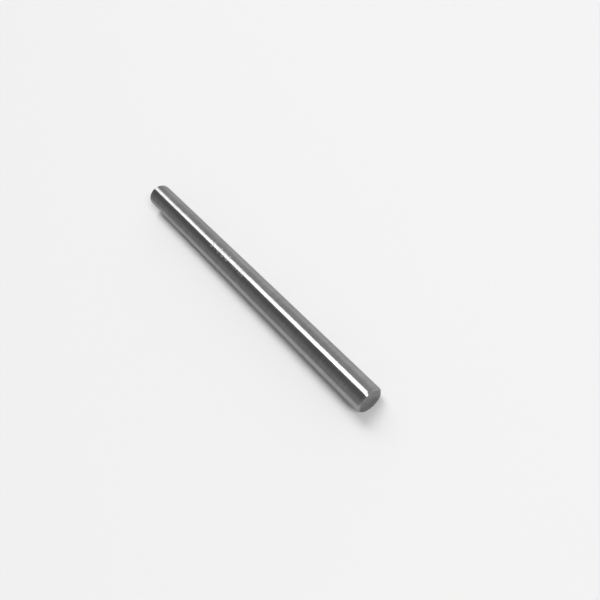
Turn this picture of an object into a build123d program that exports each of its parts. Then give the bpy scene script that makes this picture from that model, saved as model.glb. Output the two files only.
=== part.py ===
from build123d import *
import os

# A pin gauge: one plain steel pin, ground to a single exact diameter over its whole length.
# It lies on its side. +X runs along the pin's axis and +Z points up.
# The origin is on the axis, halfway along the pin.

# Driving dimensions, in millimetres
gauge_diameter = 5.0    # the size that the pin checks
gauge_length = 70.0     # from end face to end face
end_chamfer = 0.3       # edge break on both ends, at 45 degrees
edge_radius = 0.1       # lapping rounds the two corners that each chamfer leaves


def half_section():
    """Half of the pin's lengthwise section, from the axis out to the gauging wall."""
    wall_radius = gauge_diameter / 2
    face_radius = wall_radius - end_chamfer
    face_x = gauge_length / 2
    wall_end_x = face_x - end_chamfer
    with BuildSketch(Plane.XY) as section:
        with BuildLine():
            Polyline(
                (-face_x, 0),
                (-face_x, face_radius),
                (-wall_end_x, wall_radius),
                (wall_end_x, wall_radius),
                (face_x, face_radius),
                (face_x, 0),
                close=True,
            )
        make_face()
        chamfer_corners = section.vertices().filter_by(lambda corner: corner.Y > 0)
        fillet(chamfer_corners, radius=edge_radius)
    return section.sketch


def gauge_pin():
    """The whole pin, turned about its own axis in one piece."""
    return revolve(half_section(), axis=Axis.X)


os.makedirs("parts", exist_ok=True)
export_step(gauge_pin(), "parts/gauge_pin.step")
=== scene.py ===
from math import radians, tan

import bmesh
import bpy
from mathutils import Matrix, Vector


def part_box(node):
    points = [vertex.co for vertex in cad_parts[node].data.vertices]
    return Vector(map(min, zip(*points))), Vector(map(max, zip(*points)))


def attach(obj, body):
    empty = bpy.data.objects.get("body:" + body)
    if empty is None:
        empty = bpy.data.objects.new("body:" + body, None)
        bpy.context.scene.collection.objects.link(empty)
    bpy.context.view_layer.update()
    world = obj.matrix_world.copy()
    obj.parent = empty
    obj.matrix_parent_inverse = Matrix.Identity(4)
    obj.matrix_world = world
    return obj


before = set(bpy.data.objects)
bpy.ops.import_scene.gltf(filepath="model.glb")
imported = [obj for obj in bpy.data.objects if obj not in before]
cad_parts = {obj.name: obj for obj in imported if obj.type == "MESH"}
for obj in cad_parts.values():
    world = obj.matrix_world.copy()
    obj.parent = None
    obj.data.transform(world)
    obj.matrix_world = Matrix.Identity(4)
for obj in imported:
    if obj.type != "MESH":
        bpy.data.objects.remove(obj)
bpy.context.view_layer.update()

# A ground steel pin gauge, lying on a pale table under soft lamps.
# The frame's +X runs along the pin's axis, to its near end, and +Z points up. All lengths are in metres.

mm = 0.001

# The pin, as the frame has it
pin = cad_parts["gauge_pin"]
pin_low, pin_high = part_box("gauge_pin")
pin_radius = (pin_high.y - pin_low.y) / 2
floor_height = pin_low.z

# Steel
steel_dark = 0.275                    # grey of the ground wall, at its darkest and lightest
steel_light = 0.405
edge_gain = 0.95                      # grey of the broken edges and of the end faces, against the wall's
face_gain = 0.72
wall_end = 0.2                        # how squarely a surface faces along X where the wall's grey ends,
edge_start = 0.45                     # where the edge's grey starts and ends, and where the face's starts
edge_end = 0.85
face_start = 0.97
face_limit = 0.95                     # the same, from which a surface is ground as an end face
grazing_tint = 0.7                    # share of its gloss that the steel keeps at grazing angles
wall_roughness = 0.25
face_roughness = 0.28
roughness_spread = 0.01               # up and down from those, with the tone
steel_anisotropy = 1.0                # smooth round the pin, rough along it
quarter_turn = 0.25                   # of a full turn, from the smooth direction to the rough one
upward_bias = 0.001                   # sets the smooth direction where the wall's way gives none
line_width = 0.20 * mm                # grinding lines: their width, how far one runs and its height
line_reach = 5.0 * mm
line_height = 0.0001 * mm
crown_radius = 15.0 * mm              # of the end faces, which are a little rounded
wear_width = 1.2 * mm                 # faint marks from sliding into holes: their width and length
wear_reach = 9.0 * mm
wear_share = 0.5                      # of the tone, the rest being grinding lines
wear_detail = 4.0                     # finer layers of noise in the wear

# Size mark, etched near the top of the pin's wall
mark_text = "5.000 mm"
mark_height = 1.5 * mm                # of a digit
mark_centre = -4.9 * mm               # along the pin
mark_angle = radians(11.5)            # from the top towards +Y
mark_spacing = 1.4                    # between digits, against the font's own
mark_thinning_share = 0.012           # of the font's size, taken off each side of a stroke
mark_proud = 0.004 * mm               # above the wall, so that it is seen
mark_depth = 0.03 * mm                # below the wall, so that it is closed and seated
mark_strips = 12                      # cut across the digits, so that they bend round the wall
mark_weld = mark_proud / 10           # corners of the digits that are nearer than this become one
digit_share = 0.7                     # a digit's height against the font's size
text_half = 0.5                       # text grows to both sides, so this makes it 1 thick
etch_dark = 0.20                      # grey of the etched steel, at its darkest and lightest
etch_light = 0.40
etch_roughness = 0.40
pit_size = 0.12 * mm
pit_depth = 0.002 * mm

# Lamps: angle towards +X and +Y from straight up, in degrees, then distance, length along X, width,
# and power in watts
lamps = {
    "far_lamp": (-20.5, 25.5, 4.0, 1.76, 1.84, 71.0),
    "low_lamp": (-46, 24, 4.0, 1.85, 1.00, 17.5),
    "near_lamp": (44.5, 21, 4.0, 1.67, 1.00, 82.0),
}

# Room: grey of the walls and ceiling by angle from straight up towards +Y, in degrees
room_greys = [(-90, 0.34), (-56, 0.39), (-36, 0.26), (-21, 0.20), (4, 0.20),
              (24, 0.36), (44, 0.55), (74, 0.60), (90, 0.72)]
horizon = 90                          # degrees, on either side
backdrop_grey = 0.84                  # what the camera sees past the table's edge
table_grey = 0.80
table_roughness = 0.8
table_gloss = 0.2
floor_size = 3.0

# Camera: its place, the point on the floor that it aims at, and its roll against a level camera
photo_width = 600                     # pixels
focal_length = 570                    # pixels
sensor_width = 36.0                   # millimetres, as Blender counts them
camera_place = Vector((69.55, 5.84, 83.52)) * mm
camera_aim = Vector((10.69, 4.05, -2.50)) * mm
camera_roll = radians(-49.25)
camera_clip = 1.0 * mm                # nothing nearer is seen

# Noise keeps mostly between these two values, and has this many finer layers
noise_low = 0.3
noise_high = 0.7
noise_detail = 2.0


def grey(value):
    """A neutral colour."""
    return (value, value, value, 1)


class Nodes:
    """The node tree of a material or a world, emptied, with short ways to add and link nodes."""

    def __init__(self, owner):
        owner.use_nodes = True
        self.tree = owner.node_tree
        self.tree.nodes.clear()

    def add(self, kind, inputs=None, **settings):
        """A node with its settings, and its inputs set to values or linked to other outputs."""
        node = self.tree.nodes.new(kind)
        for name, value in settings.items():
            setattr(node, name, value)
        for name, value in (inputs or {}).items():
            if isinstance(value, bpy.types.NodeSocket):
                self.tree.links.new(value, node.inputs[name])
            else:
                node.inputs[name].default_value = value
        return node

    def math(self, operation, first, second=0.0):
        """The result of one sum."""
        return self.add("ShaderNodeMath", {0: first, 1: second}, operation=operation).outputs[0]

    def noise(self, place, sizes, detail=noise_detail):
        """Noise whose grains have these sizes along X, Y and Z."""
        scale = tuple(1 / size for size in sizes)
        scaled = self.add("ShaderNodeMapping", {"Vector": place, "Scale": scale})
        noise = self.add("ShaderNodeTexNoise", {
            "Vector": scaled.outputs[0], "Scale": 1.0, "Detail": detail})
        return noise.outputs["Fac"]

    def spread(self, noise, low, high):
        """Noise stretched to run from low to high."""
        stretched = self.add("ShaderNodeMapRange", {
            "Value": noise, "From Min": noise_low, "From Max": noise_high,
            "To Min": low, "To Max": high})
        return stretched.outputs[0]

    def blend(self, share, first, second):
        """The value first where share is 0 and second where it is 1."""
        mixed = self.add("ShaderNodeMix", {"Factor": share, "A": first, "B": second}, data_type="FLOAT")
        return mixed.outputs["Result"]

    def ramp(self, share, stops):
        """A grey that follows these stops, each a place from 0 to 1 and a grey."""
        node = self.add("ShaderNodeValToRGB", {"Fac": share})
        elements = node.color_ramp.elements
        for position, value in stops[1:-1]:
            elements.new(position).color = grey(value)
        for element, (position, value) in ((elements[0], stops[0]), (elements[-1], stops[-1])):
            element.position = position
            element.color = grey(value)
        return node.outputs["Color"]

    def neutral(self, value):
        """A neutral colour from a grey that changes over the surface."""
        channels = {name: value for name in ("Red", "Green", "Blue")}
        return self.add("ShaderNodeCombineColor", channels).outputs[0]


def ground_steel():
    """Hardened steel, ground round the axis: smooth around the pin and rougher along it."""
    material = bpy.data.materials.new("ground_steel")
    nodes = Nodes(material)
    place = nodes.add("ShaderNodeTexCoord").outputs["Object"]
    normal = nodes.add("ShaderNodeNewGeometry").outputs["Normal"]
    normal_x = nodes.add("ShaderNodeSeparateXYZ", {0: normal}).outputs["X"]
    facing_end = nodes.math("ABSOLUTE", normal_x)
    on_face = nodes.math("GREATER_THAN", facing_end, face_limit)

    # Grinding lines run round the wall, and straight up the end faces
    wall_lines = nodes.noise(place, (line_width, line_reach, line_reach))
    face_lines = nodes.noise(place, (line_reach, line_width, line_reach))
    lines = nodes.blend(on_face, wall_lines, face_lines)
    wear = nodes.noise(place, (wear_reach, wear_width, wear_width), wear_detail)
    tone = nodes.blend(wear_share, lines, wear)

    # The edges are a little darker than the wall, and the end faces darker still
    wall_grey = nodes.spread(tone, steel_dark, steel_light)
    gain = nodes.ramp(facing_end, [
        (wall_end, 1.0), (edge_start, edge_gain), (edge_end, edge_gain), (face_start, face_gain)])
    colour = nodes.neutral(nodes.math("MULTIPLY", wall_grey, gain))
    finish = nodes.blend(on_face, wall_roughness, face_roughness)
    roughness = nodes.math("ADD", finish, nodes.spread(tone, -roughness_spread, roughness_spread))

    # Relief: the lines, and the crown of the end faces
    across = nodes.add("ShaderNodeVectorMath", {0: place, 1: (0, 1, 1)}, operation="MULTIPLY").outputs[0]
    from_axis = nodes.add("ShaderNodeVectorMath", {0: across}, operation="LENGTH").outputs["Value"]
    crown = nodes.math("DIVIDE", nodes.math("MULTIPLY", from_axis, from_axis), -2 * crown_radius)
    relief = nodes.math("ADD", crown, nodes.math("MULTIPLY", lines, line_height))
    bump = nodes.add("ShaderNodeBump", {"Height": relief, "Strength": 1.0, "Distance": 1.0})

    # The smooth direction runs round the wall, and upwards on the end faces
    around = nodes.add("ShaderNodeVectorMath", {0: normal, 1: (1, 0, 0)}, operation="CROSS_PRODUCT")
    upwards = (0, 0, upward_bias)
    smooth = nodes.add("ShaderNodeVectorMath", {0: around.outputs[0], 1: upwards}, operation="ADD")
    steel = nodes.add("ShaderNodeBsdfPrincipled", {
        "Base Color": colour, "Metallic": 1.0, "Roughness": roughness,
        "Specular Tint": grey(grazing_tint),
        "Anisotropic": steel_anisotropy, "Anisotropic Rotation": quarter_turn,
        "Tangent": smooth.outputs[0], "Normal": bump.outputs[0]})
    nodes.add("ShaderNodeOutputMaterial", {"Surface": steel.outputs[0]})
    return material


def etched_steel():
    """The etched mark: the same steel, dulled and pitted."""
    material = bpy.data.materials.new("etched_steel")
    nodes = Nodes(material)
    place = nodes.add("ShaderNodeTexCoord").outputs["Object"]
    pits = nodes.noise(place, (pit_size, pit_size, pit_size))
    colour = nodes.neutral(nodes.spread(pits, etch_dark, etch_light))
    bump = nodes.add("ShaderNodeBump", {"Height": pits, "Strength": 1.0, "Distance": pit_depth})
    steel = nodes.add("ShaderNodeBsdfPrincipled", {
        "Base Color": colour, "Metallic": 1.0, "Roughness": etch_roughness, "Normal": bump.outputs[0]})
    nodes.add("ShaderNodeOutputMaterial", {"Surface": steel.outputs[0]})
    return material


def flat_digits():
    """The mark's text as a flat, closed mesh about its middle, cut into strips that can be bent."""
    text = bpy.data.curves.new("size_mark_text", "FONT")
    text.body = mark_text
    text.align_x = "CENTER"
    text.align_y = "CENTER"
    text.space_character = mark_spacing
    text.offset = -mark_thinning_share
    text.extrude = text_half
    holder = bpy.data.objects.new("size_mark_text", text)
    bpy.context.scene.collection.objects.link(holder)
    bpy.context.view_layer.update()
    mesh = bpy.data.meshes.new_from_object(holder.evaluated_get(bpy.context.evaluated_depsgraph_get()))
    bpy.data.objects.remove(holder)
    font_size = mark_height / digit_share
    mesh.transform(Matrix.Diagonal((font_size, font_size, mark_proud + mark_depth, 1)))
    digits = bmesh.new()
    digits.from_mesh(mesh)
    bmesh.ops.remove_doubles(digits, verts=digits.verts, dist=mark_weld)
    for step in range(1, mark_strips):
        height = mark_height * step / mark_strips - mark_height / 2
        everything = digits.verts[:] + digits.edges[:] + digits.faces[:]
        bmesh.ops.bisect_plane(digits, geom=everything, dist=mark_weld,
                               plane_co=(0, height, 0), plane_no=(0, 1, 0))
    bmesh.ops.triangulate(digits, faces=digits.faces)
    return mesh, digits


def size_mark():
    """The digits wrapped round the pin's wall, as one piece that rides on the pin."""
    mesh, digits = flat_digits()
    wall = pin_radius + (mark_proud - mark_depth) / 2
    for vertex in digits.verts:
        turn = Matrix.Rotation(-(mark_angle + vertex.co.y / pin_radius), 3, "X")
        vertex.co = turn @ Vector((mark_centre + vertex.co.x, 0, wall + vertex.co.z))
    bmesh.ops.recalc_face_normals(digits, faces=digits.faces)
    digits.to_mesh(mesh)
    digits.free()
    mesh.materials.clear()
    mesh.materials.append(etched_steel())
    mark = bpy.data.objects.new("size_mark", mesh)
    bpy.context.scene.collection.objects.link(mark)
    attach(mark, "root")


def table_paper():
    """A plain, pale, matt table."""
    material = bpy.data.materials.new("table_paper")
    nodes = Nodes(material)
    paper = nodes.add("ShaderNodeBsdfPrincipled", {
        "Base Color": grey(table_grey), "Roughness": table_roughness, "Specular IOR Level": table_gloss})
    nodes.add("ShaderNodeOutputMaterial", {"Surface": paper.outputs[0]})
    return material


def floor():
    """The table that the pin lies on."""
    half = floor_size / 2
    corners = [(-half, -half), (half, -half), (half, half), (-half, half)]
    mesh = bpy.data.meshes.new("floor")
    mesh.from_pydata([(x, y, floor_height) for x, y in corners], [], [(0, 1, 2, 3)])
    mesh.materials.append(table_paper())
    table = bpy.data.objects.new("floor", mesh)
    bpy.context.scene.collection.objects.link(table)


def lamp(name, end_angle, side_angle, distance, length, width, power):
    """A rectangular lamp that faces the middle of the pin. The camera doesn't see it."""
    light = bpy.data.lights.new(name, "AREA")
    light.shape = "RECTANGLE"
    light.size = length
    light.size_y = width
    light.energy = power
    away = Vector((tan(radians(end_angle)), tan(radians(side_angle)), 1)).normalized()
    along = (Vector((1, 0, 0)) - away * away.x).normalized()
    turn = Matrix((along, away.cross(along), away)).transposed().to_4x4()
    holder = bpy.data.objects.new(name, light)
    holder.matrix_world = Matrix.Translation(away * distance) @ turn
    holder.visible_camera = False
    bpy.context.scene.collection.objects.link(holder)


def room():
    """The room's walls and ceiling as greys that change from the -Y side to the +Y side."""
    world = bpy.data.worlds.new("room")
    bpy.context.scene.world = world
    nodes = Nodes(world)
    direction = nodes.add("ShaderNodeTexCoord").outputs["Generated"]
    parts = nodes.add("ShaderNodeSeparateXYZ", {0: direction})
    side = nodes.math("ARCTAN2", parts.outputs["Y"], parts.outputs["Z"])
    share = nodes.add("ShaderNodeMapRange", {
        "Value": side, "From Min": -radians(horizon), "From Max": radians(horizon)})
    stops = [((angle + horizon) / (2 * horizon), value) for angle, value in room_greys]
    greys = nodes.ramp(share.outputs[0], stops)
    walls = nodes.add("ShaderNodeBackground", {"Color": greys})
    backdrop = nodes.add("ShaderNodeBackground", {"Color": grey(backdrop_grey)})
    seen = nodes.add("ShaderNodeLightPath").outputs["Is Camera Ray"]
    both = nodes.add("ShaderNodeMixShader", {0: seen, 1: walls.outputs[0], 2: backdrop.outputs[0]})
    nodes.add("ShaderNodeOutputWorld", {"Surface": both.outputs[0]})


def camera():
    """The camera at the photograph's viewing angle."""
    data = bpy.data.cameras.new("camera")
    data.sensor_width = sensor_width
    data.lens = focal_length / photo_width * sensor_width
    data.clip_start = camera_clip
    level = (camera_aim - camera_place).to_track_quat("-Z", "Y").to_matrix().to_4x4()
    holder = bpy.data.objects.new("camera", data)
    holder.matrix_world = Matrix.Translation(camera_place) @ level @ Matrix.Rotation(camera_roll, 4, "Z")
    bpy.context.scene.collection.objects.link(holder)
    bpy.context.scene.camera = holder


bpy.context.scene.view_settings.view_transform = "Standard"
pin.data.materials.clear()
pin.data.materials.append(ground_steel())
size_mark()
floor()
for name, values in lamps.items():
    lamp(name, *values)
room()
camera()
